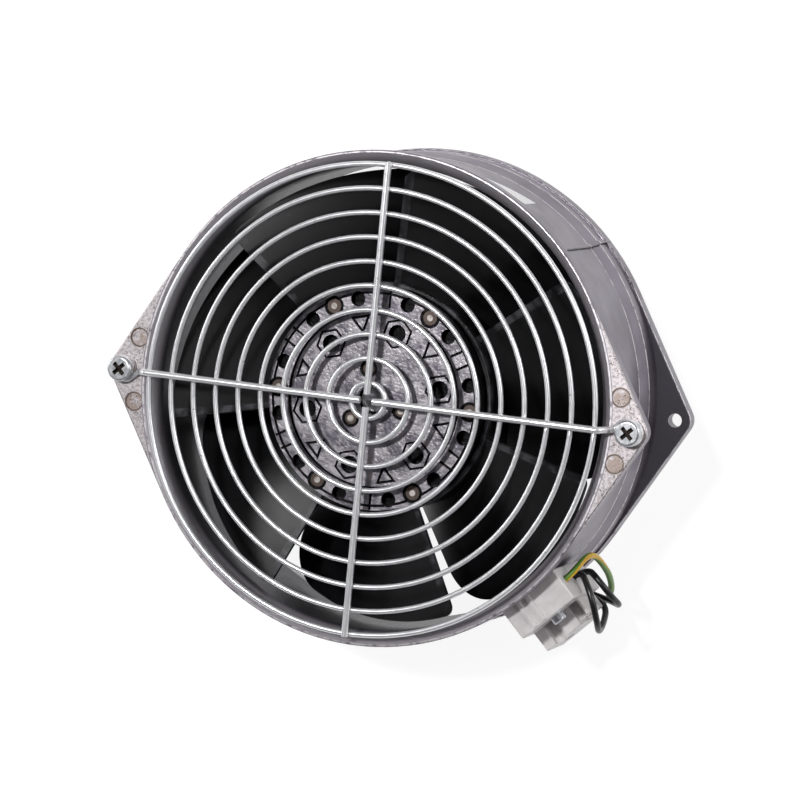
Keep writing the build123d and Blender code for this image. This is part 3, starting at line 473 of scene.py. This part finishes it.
@dataclass(frozen=True)
class StovedPaint(Finish):
    """Black paint baked on sheet steel, with a grey line on the front and outer edges of the blades: partly worn thin
    paint, partly a painted highlight.

    Attributes:
        worn: the grey of the thin paint, also a painted highlight on the edges.
        front_mm: height of the front edge.
        tip_mm: radius of the outer edge.
    """

    worn: str = "5d5c61"
    front_mm: float = 45.5
    tip_mm: float = 69.0

    def dress(
        self, tree: bpy.types.NodeTree, place: bpy.types.NodeSocket
    ) -> tuple[bpy.types.NodeSocket, bpy.types.NodeSocket, bpy.types.NodeSocket]:
        """Lay out the paint, its dust and its edges, worn and with a painted highlight."""
        axes = add_node(tree, "SeparateXYZ", {"Vector": place})
        radius = self.distance(tree, axes.outputs["X"], axes.outputs["Y"])
        colour, rough, height = super().dress(tree, place)
        # grey edge lines: partly worn thin paint, partly a painted highlight on the sharp edges
        front = self.spots(tree, axes.outputs["Z"], (self.front_mm - 0.05) * MM, (self.front_mm - 0.01) * MM)
        tip = self.spots(tree, radius, (self.tip_mm - 0.3) * MM, (self.tip_mm - 0.1) * MM)
        patchy = self.spots(tree, self.noise(tree, place, 6.0, 5.0), 0.38, 0.6)
        share = self.sums(tree, "MULTIPLY", self.sums(tree, "MAXIMUM", front, tip), patchy)
        dust = self.spots(tree, self.noise(tree, place, 1.4, 2.0), 0.74, 0.8)
        dusty = self.mix(tree, self.sums(tree, "MULTIPLY", dust, 0.25), colour, linear(self.worn))
        return self.mix(tree, self.sums(tree, "MULTIPLY", share, 0.55), dusty, linear(self.worn)), rough, height


@dataclass(frozen=True)
class Striped(Finish):
    """Smooth sleeve of an earth lead, green with a yellow stripe along it, read from the lead's own UV map."""

    stripe: str = "d8a820"
    share: float = 0.36

    def dress(
        self, tree: bpy.types.NodeTree, place: bpy.types.NodeSocket
    ) -> tuple[bpy.types.NodeSocket, bpy.types.NodeSocket, bpy.types.NodeSocket]:
        """Lay out the stripe, which winds slowly round the sleeve."""
        along = add_node(tree, "UVMap", uv_map="UVMap")
        ways = add_node(tree, "SeparateXYZ", {"Vector": along.outputs["UV"]})
        turned = self.sums(tree, "ADD", ways.outputs["Y"], self.sums(tree, "MULTIPLY", ways.outputs["X"], 1.3))
        wrapped = self.sums(tree, "FRACT", turned)
        centred = self.sums(tree, "ABSOLUTE", self.sums(tree, "SUBTRACT", wrapped, 0.5))
        yellow = self.spots(tree, centred, self.share / 2 + 0.03, self.share / 2 - 0.03)
        grain = self.noise(tree, place, self.grain_mm, 3.0)
        green = self.mix(tree, grain, linear(self.shade), linear(self.colour))
        colour = self.mix(tree, yellow, green, linear(self.stripe))
        return colour, self.gloss(tree, grain), self.noise(tree, place, self.relief_mm, 2.0)


# Pressure die cast aluminium: faint clouds of flow, fine grain, edges bright from wear and a painted highlight, painted
# shade in the duct, painted light on the front mouth
CAST_HOUSING = DieCast(
    "die_cast_aluminium", "8e8892", "746e78", metallic=0.7, roughness=0.4, spread=0.08, relief_mm=0.8, relief=0.3
)
# The same alloy inside the motor carrier, plain
CAST_FLANGE = Finish("cast_flange", "8f8c90", "7a777b", metallic=0.75, roughness=0.45, relief_mm=0.8, relief=0.3)
# Turned and lacquered rotor face: glossy orange peel, painted black shade in the grooves
ROTOR_FACE = RotorLacquer(
    "lacquered_rotor", "a39fa4", "75717a", metallic=0.85, roughness=0.33, spread=0.1, relief_mm=0.9, relief=1.0
)
# Stoved black paint on pressed steel: deep black, half gloss, a few dust grains
BLACK_PAINT = StovedPaint(
    "black_stoved_paint", "08080a", "101012", roughness=0.3, spread=0.05, grain_mm=9.0, relief_mm=2.5, relief=0.08
)
# Nickel plated wire: bright, satin, slightly warm where it was welded
GUARD_WIRE = SpotWelded(
    "nickel_plated_wire", "f6f6f7", "e6e6e9", metallic=0.72, roughness=0.3, spread=0.06, grain_mm=1.6, relief=0.08
)
# Blue passivated zinc on screws: faint cool tint, soft gloss
ZINC = Finish("blue_zinc", "d2d4d8", "b2b4b8", metallic=0.9, roughness=0.34, grain_mm=1.2, relief=0.1)
# The same zinc on the guard screws, darker in the cross recess
HEAD_ZINC = Sunk(
    "blue_zinc_head", "dedfe2", "bcbec2", metallic=0.85, roughness=0.32, grain_mm=1.2, relief=0.1, centre_mm=81.0, reach_mm=2.7
)
# Plain plated steel of caps and washers
PLAIN_STEEL = Finish("plated_steel", "aeacac", "8a8888", metallic=1.0, roughness=0.35, grain_mm=1.5)
# Steel pins and rivets that shine out of their darker, brown dishes
PIN_STEEL = Sunk(
    "dished_pin_steel", "c2bbb6", "948b85", metallic=0.8, roughness=0.35, dark="584d48", top_mm=54.25, drop_mm=0.1
)
# Hardened spring steel, blued by its heat treatment
SPRING_STEEL = Finish("spring_steel", "5c5d62", "46474c", metallic=1.0, roughness=0.35, grain_mm=1.5)
# Ground and polished bearing steel
BEARING_STEEL = Finish("bearing_steel", "c4c4c6", "aeaeb1", metallic=1.0, roughness=0.16, spread=0.03, relief=0.03)
# Electrical sheet, dull and oily, with one line for each sheet
CORE_SHEET = Laminated("electrical_sheet", "68686c", "3a3a3e", metallic=0.9, roughness=0.5)
# Enamelled copper: varnished red brown turns
COPPER = Wound("enamelled_copper", "a4562c", "5a2a14", metallic=0.7, roughness=0.34, relief=0.8)
# Natural polyamide of the slot insulators
NATURAL_PLASTIC = Finish("natural_polyamide", "dcd5bf", "cfc6ad", roughness=0.5)
# Milky polyamide of the strip: light goes a little way in, which softens its edges
WHITE_PLASTIC = Finish(
    "milky_polyamide", "dcd8d8", "cdc8c8", roughness=0.36, grain_mm=6.0, relief_mm=1.8, relief=0.08, milky=0.5
)
# Tapped brass of the clamps
BRASS = Finish("clamp_brass", "b59652", "957a40", metallic=1.0, roughness=0.35)
# Black rubber of the grommet
RUBBER = Finish("black_rubber", "141414", "1e1e1e", roughness=0.62)
# Soft plastic sleeve of the earth lead
EARTH_SLEEVE = Striped("striped_sleeve", "67962f", "587f28", roughness=0.34, grain_mm=4.0, relief=0.05)
# Soft black sleeve of the motor leads, glossy, slightly scuffed
BLACK_SLEEVE = Finish("black_sleeve", "0b0b0d", "161619", roughness=0.32, grain_mm=3.0, relief_mm=1.2, relief=0.1)
# Satin polyester label stock with nothing printed on it
LABEL_STOCK = Finish("bare_label", "fbfafb", "f3f2f4", roughness=0.42, grain_mm=8.0, relief=0.04)

NODE_FINISHES: list[tuple[Finish, tuple[str, ...]]] = [
    (CAST_HOUSING, ("housing",)),
    (CAST_FLANGE, ("stator_flange",)),
    (ROTOR_FACE, ("rotor_casting",)),
    (BLACK_PAINT, ("impeller_ring",) + tuple(f"blade_{k}" for k in range(1, 8))),
    (GUARD_WIRE, ("wire_guard",)),
    (HEAD_ZINC, ("guard_screws",)),
    (ZINC, ("flange_screws", "clamp_screws", "fixing_screw", "earth_screw")),
    (PIN_STEEL, ("rotor_pins", "face_rivets")),
    (PLAIN_STEEL, ("bearing_cap", "thrust_washer", "earth_tag")),
    (SPRING_STEEL, ("preload_spring", "circlip")),
    (
        BEARING_STEEL,
        ("shaft",) + tuple(f"{end}_bearing_{part}" for end in ("rear", "front") for part in ("outer_ring", "inner_ring", "balls")),
    ),
    (CORE_SHEET, ("stator_core", "rotor_core")),
    (COPPER, ("windings",)),
    (NATURAL_PLASTIC, ("rear_insulator", "front_insulator")),
    (WHITE_PLASTIC, ("terminal_strip",)),
    (BRASS, ("terminal_clamps",)),
    (RUBBER, ("lead_grommet",)),
]


class Lamp(Enum):
    """The lamps of the studio: place in metres, size in metres and power in watts."""

    KEY = ((-0.21, 0.38, 1.55), 0.14, 16.0)
    FRONT = ((0.3, 0.5, 1.7), 0.6, 1.0)
    LEFT = ((-1.3, 0.3, 0.6), 0.5, 4.0)
    RIGHT = ((1.3, 0.5, 0.6), 0.5, 6.0)


@dataclass
class Studio:
    """Camera, lamps, world and floor.

    Attributes:
        target: the point that the camera looks at, in metres.
        turn: its turn about +Y from the shaft, in degrees.
        rise: its height angle, in degrees.
        roll: how far the picture is rolled, in degrees.
        distance: how far the camera stands from the target, in metres.
        lens: focal length in millimetres on a 36 mm wide sensor.
        shift: the small shift of the photograph's frame.
        floor_drop: how far the floor lies under the rear face, in metres.
    """

    target: tuple[float, float, float] = (0.00801, 0.00429, 0.050)
    turn: float = 18.38
    rise: float = 5.67
    roll: float = 5.36
    distance: float = 1.23266
    lens: float = 184.19
    shift: tuple[float, float] = (-0.00522, -0.01563)
    floor_drop: float = 0.001
    floor_size: float = 6.0

    def build(self) -> None:
        """Set up everything that isn't the object."""
        bpy.context.scene.view_settings.view_transform = "Standard"
        self.place_camera()
        self.hang_lamps()
        self.light_world()
        self.lay_floor()

    def place_camera(self) -> None:
        """Stand the camera where the photograph was taken."""
        turn, rise, roll = (math.radians(a) for a in (self.turn, self.rise, self.roll))
        back = Vector((math.sin(turn) * math.cos(rise), math.sin(rise), math.cos(turn) * math.cos(rise)))
        level = (-back).cross(Vector((0, 1, 0))).normalized()
        upright = level.cross(-back)
        right = math.cos(roll) * level + math.sin(roll) * upright
        up = -math.sin(roll) * level + math.cos(roll) * upright
        data = bpy.data.cameras.new("photograph")
        data.lens = self.lens
        data.sensor_width = 36.0
        data.shift_x, data.shift_y = self.shift
        data.clip_start, data.clip_end = 0.05, 20.0
        camera = bpy.data.objects.new("photograph", data)
        basis = Matrix((right, up, back)).transposed().to_4x4()
        basis.translation = Vector(self.target) + self.distance * back
        camera.matrix_world = basis
        bpy.context.scene.collection.objects.link(camera)
        bpy.context.scene.camera = camera

    def hang_lamps(self) -> None:
        """Hang each soft lamp and aim it at the fan."""
        for lamp in Lamp:
            spot, size, power = lamp.value
            data = bpy.data.lights.new(lamp.name.lower(), "AREA")
            data.shape = "SQUARE"
            data.size = size
            data.energy = power
            obj = bpy.data.objects.new(lamp.name.lower(), data)
            obj.location = spot
            aim = Vector((0.0, 0.0, 0.03)) - Vector(spot)
            obj.rotation_euler = aim.to_track_quat("-Z", "Y").to_euler()
            bpy.context.scene.collection.objects.link(obj)

    def light_world(self) -> None:
        """Give the world a soft light from the sides, and a dark ceiling behind the camera."""
        world = bpy.data.worlds.new("studio")
        world.use_nodes = True
        tree = world.node_tree
        tree.nodes.clear()
        height = add_node(tree, "SeparateXYZ", {"Vector": add_node(tree, "TexCoord").outputs["Generated"]})
        level = add_node(
            tree, "MapRange", {"Value": height.outputs["Z"], "From Min": 0.35, "From Max": 0.9, "To Min": 0.34, "To Max": 0.07}
        )
        soft = add_node(tree, "Background", {"Color": linear("e8e8ec"), "Strength": level.outputs["Result"]})
        add_node(tree, "OutputWorld", {"Surface": soft.outputs["Background"]})
        bpy.context.scene.world = world

    def lay_floor(self) -> None:
        """Lay the pale floor under the rear face of the fan."""
        bpy.ops.object.select_all(action="DESELECT")
        bpy.ops.mesh.primitive_plane_add(size=self.floor_size, location=(0, 0, -self.floor_drop))
        floor = bpy.context.object
        floor.name = "floor"
        bpy.ops.object.transform_apply(location=True)
        material = bpy.data.materials.new("pale_floor")
        material.use_nodes = True
        tree = material.node_tree
        tree.nodes.clear()
        rays = add_node(tree, "LightPath").outputs
        mirror = add_node(
            tree, "Math", {0: rays["Is Glossy Ray"], 1: rays["Is Transmission Ray"]}, operation="MAXIMUM"
        )
        seen_by = add_node(tree, "Math", {0: rays["Is Camera Ray"], 1: mirror.outputs["Value"]}, operation="MAXIMUM")
        plain = add_node(tree, "BsdfDiffuse", {"Color": (0.8, 0.8, 0.8, 1)})
        veil = add_node(tree, "BsdfDiffuse", {"Color": (0.18, 0.18, 0.18, 1)})
        glow = add_node(tree, "Emission", {"Color": (1, 1, 1, 1), "Strength": 0.9})
        seen = add_node(tree, "AddShader", {0: veil.outputs["BSDF"], 1: glow.outputs["Emission"]})
        both = add_node(
            tree, "MixShader", {0: seen_by.outputs["Value"], 1: plain.outputs["BSDF"], 2: seen.outputs["Shader"]}
        )
        add_node(tree, "OutputMaterial", {"Surface": both.outputs["Shader"]})
        floor.data.materials.append(material)


@dataclass
class Wardrobe:
    """The finishes of the nodes that keep their own shape.

    Attributes:
        nodes: the frame's objects by node name.
    """

    nodes: dict[str, bpy.types.Object]

    def dress(self) -> None:
        """Give every node its material."""
        for finish, names in NODE_FINISHES:
            material = finish.make()
            for name in names:
                node = self.nodes[name]
                node.data.materials.clear()
                node.data.materials.append(material)
                LOG.info("%s wears %s", name, finish.name)


@dataclass
class Lead:
    """One lead: its node, its finish and the points of its route.

    Attributes:
        node: the node that it stands for.
        finish: its sleeve.
        slot: the record's slot of that finish; not used.
        route: points as sideways place, distance from the shaft and height, in millimetres.
    """

    node: str
    finish: Finish
    slot: str
    route: Sequence[tuple[float, float, float]]


@dataclass
class LeadLoom:
    """The three leads between the strip and the motor.

    Attributes:
        strip_angle: direction of the strip seen from the front, in degrees.
        radius: radius of each sleeve, in millimetres.
        leads: the leads.
    """

    strip_angle: float = -45.0
    radius: float = 1.0
    leads: list[Lead] = field(
        default_factory=lambda: [
            Lead(
                "earth_lead",
                EARTH_SLEEVE,
                "green_yellow_lead",
                (
                    (8.0, 77.6, 43.0),
                    (13.2, 77.6, 43.0),
                    (18.6, 75.8, 39.5),
                    (19.3, 76.6, 33.5),
                    (17.6, 80.3, 27.0),
                    (15.0, 83.2, 20.0),
                    (10.6, 86.3, 12.3),
                    (4.6, 87.5, 6.1),
                    (0.1, 84.3, 5.6),
                    (-1.05, 79.0, 8.29),
                    (-1.05, 67.5, 8.29),
                    (-1.45, 53.0, 6.5),
                    (-1.75, 39.5, 7.9),
                    (-1.8, 29.6, 8.9),
                    (-6.15, 25.75, 8.9),
                ),
            ),
            Lead(
                "black_lead_1",
                BLACK_SLEEVE,
                "black_lead",
                (
                    (8.0, 77.6, 35.0),
                    (13.2, 77.6, 35.0),
                    (13.6, 82.0, 39.0),
                    (12.0, 87.6, 40.5),
                    (8.3, 93.6, 38.5),
                    (5.0, 95.6, 32.5),
                    (6.3, 93.3, 25.0),
                    (7.4, 89.9, 18.0),
                    (5.2, 85.1, 13.0),
                    (0.0, 79.4, 10.11),
                    (0.0, 67.5, 10.11),
                    (0.2, 53.0, 8.6),
                    (0.05, 39.5, 9.9),
                    (0.0, 29.8, 10.6),
                    (-1.5, 21.0, 10.2),
                    (-1.5, 21.0, 14.25),
                ),
            ),
            Lead(
                "black_lead_2",
                BLACK_SLEEVE,
                "black_lead",
                (
                    (8.0, 77.6, 27.0),
                    (13.2, 77.6, 27.0),
                    (14.2, 82.8, 29.5),
                    (13.8, 88.8, 28.0),
                    (12.4, 92.6, 21.5),
                    (8.8, 89.0, 14.2),
                    (5.2, 84.9, 10.1),
                    (1.05, 79.2, 8.29),
                    (1.05, 67.5, 8.29),
                    (1.45, 53.0, 6.5),
                    (1.75, 39.5, 7.9),
                    (1.8, 29.8, 8.9),
                    (1.5, 21.0, 9.6),
                    (1.5, 21.0, 14.25),
                ),
            ),
        ]
    )

    def build(self) -> None:
        """Draw every lead and let it stand for its node."""
        worn: dict[str, bpy.types.Material] = {}
        for lead in self.leads:
            if lead.finish.name not in worn:
                worn[lead.finish.name] = lead.finish.make()
            piece = self.draw(lead)
            piece.data.materials.append(worn[lead.finish.name])
            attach(piece, "frame")
            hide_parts(lead.node)
            LOG.info("%s is drawn", piece.name)

    def spot(self, point: tuple[float, float, float]) -> Vector:
        """Turn a route point into a place in metres."""
        side, out, height = point
        angle = math.radians(self.strip_angle)
        outward = Vector((math.cos(angle), math.sin(angle), 0))
        sideways = Vector((-math.sin(angle), math.cos(angle), 0))
        return (side * sideways + out * outward + Vector((0, 0, height))) * MM

    def draw(self, lead: Lead) -> bpy.types.Object:
        """Draw one lead as a smooth round sleeve.

        Args:
            lead: the lead.

        Returns:
            The sleeve, a mesh with a UV map along and round it.
        """
        curve = bpy.data.curves.new(lead.node + "_sleeve", "CURVE")
        curve.dimensions = "3D"
        curve.resolution_u = 10
        spline = curve.splines.new("NURBS")
        spline.points.add(len(lead.route) - 1)
        for knot, point in zip(spline.points, lead.route):
            knot.co = (*self.spot(point), 1.0)
        spline.order_u = 3
        spline.use_endpoint_u = True
        curve.bevel_depth = self.radius * MM
        curve.bevel_resolution = 5
        curve.use_fill_caps = True
        piece = bpy.data.objects.new(lead.node + "_sleeve", curve)
        bpy.context.scene.collection.objects.link(piece)
        return piece


@dataclass
class BareLabel:
    """The blank label on the outside of the wall, with its ends cut askew.

    Attributes:
        wall: radius of the wall, in millimetres.
        angle: direction of its middle, in degrees.
        height: height of its middle, in millimetres.
        size: its length and width, in millimetres.
        askew: how far its long edges climb along the wall, in degrees.
        thickness: thickness of the stock, in millimetres.
    """

    wall: float = 72.65
    angle: float = 65.9
    height: float = 37.3
    size: tuple[float, float] = (16.2, 11.0)
    askew: float = 28.0
    thickness: float = 0.12

    def build(self) -> None:
        """Cut the label, wrap it on the wall and give it its thickness."""
        bpy.ops.object.select_all(action="DESELECT")
        bpy.ops.mesh.primitive_grid_add(x_subdivisions=24, y_subdivisions=4, size=MM)
        label = bpy.context.object
        label.name = "bare_label"
        length, width = self.size
        label.data.transform(Matrix.Diagonal((length, width, 1.0, 1.0)))
        reach = self.wall * MM
        for vert in label.data.vertices:
            turn = math.radians(self.angle) + vert.co.x / reach
            climb = vert.co.x * math.tan(math.radians(self.askew))
            vert.co = (reach * math.cos(turn), reach * math.sin(turn), self.height * MM + vert.co.y + climb)
        wall = label.modifiers.new("thickness", "SOLIDIFY")
        wall.thickness = self.thickness * MM
        wall.offset = -1.0
        bpy.ops.object.modifier_apply(modifier=wall.name)
        bpy.ops.object.mode_set(mode="EDIT")
        bpy.ops.mesh.select_all(action="SELECT")
        bpy.ops.mesh.normals_make_consistent(inside=False)
        bpy.ops.object.mode_set(mode="OBJECT")
        label.data.materials.append(LABEL_STOCK.make())
        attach(label, "frame")
        LOG.info("label is on the wall")


@dataclass
class WeldBeads:
    """The small beads of metal where each ring of the guard is welded to an arm.

    Attributes:
        first: radius of the first ring, in millimetres.
        pitch: distance between two rings, in millimetres.
        count: number of rings.
        height: height of the joint between ring and arm, in millimetres.
    """

    first: float = 5.4
    pitch: float = 7.28
    count: int = 10
    height: float = 60.0

    def build(self) -> None:
        """Model one bead and copy it to every crossing."""
        bpy.ops.object.select_all(action="DESELECT")
        bpy.ops.mesh.primitive_ico_sphere_add(subdivisions=1, radius=MM, location=(0, 0, 0))
        bead = bpy.context.object
        bead.scale = (1.25, 0.95, 0.55)
        bpy.ops.object.transform_apply(scale=True)
        shape = bead.data
        copies = []
        for ring in range(self.count):
            for arm in range(4):
                angle = math.radians(90 * arm)
                copy = bpy.data.objects.new(f"bead_{ring}_{arm}", shape.copy())
                reach = (self.first + self.pitch * ring) * MM
                spot = Vector((reach * math.cos(angle), reach * math.sin(angle), self.height * MM))
                copy.data.transform(Matrix.Translation(spot) @ Matrix.Rotation(angle, 4, "Z"))
                bpy.context.scene.collection.objects.link(copy)
                copies.append(copy)
        bpy.data.objects.remove(bead)
        bpy.ops.object.select_all(action="DESELECT")
        for copy in copies:
            copy.select_set(True)
        bpy.context.view_layer.objects.active = copies[0]
        bpy.ops.object.join()
        beads = bpy.context.object
        beads.name = "weld_beads"
        bpy.ops.object.shade_smooth()
        beads.data.materials.append(GUARD_WIRE.make())
        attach(beads, "frame")
        LOG.info("%d weld beads", len(copies))


def main() -> None:
    """Load the frame, build the studio and every piece."""
    logging.basicConfig(level=logging.INFO, format="%(message)s")
    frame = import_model()
    Studio().build()
    LeadLoom().build()
    Wardrobe(frame["nodes"]).dress()
    BareLabel().build()
    WeldBeads().build()


if __name__ == "__main__":
    main()
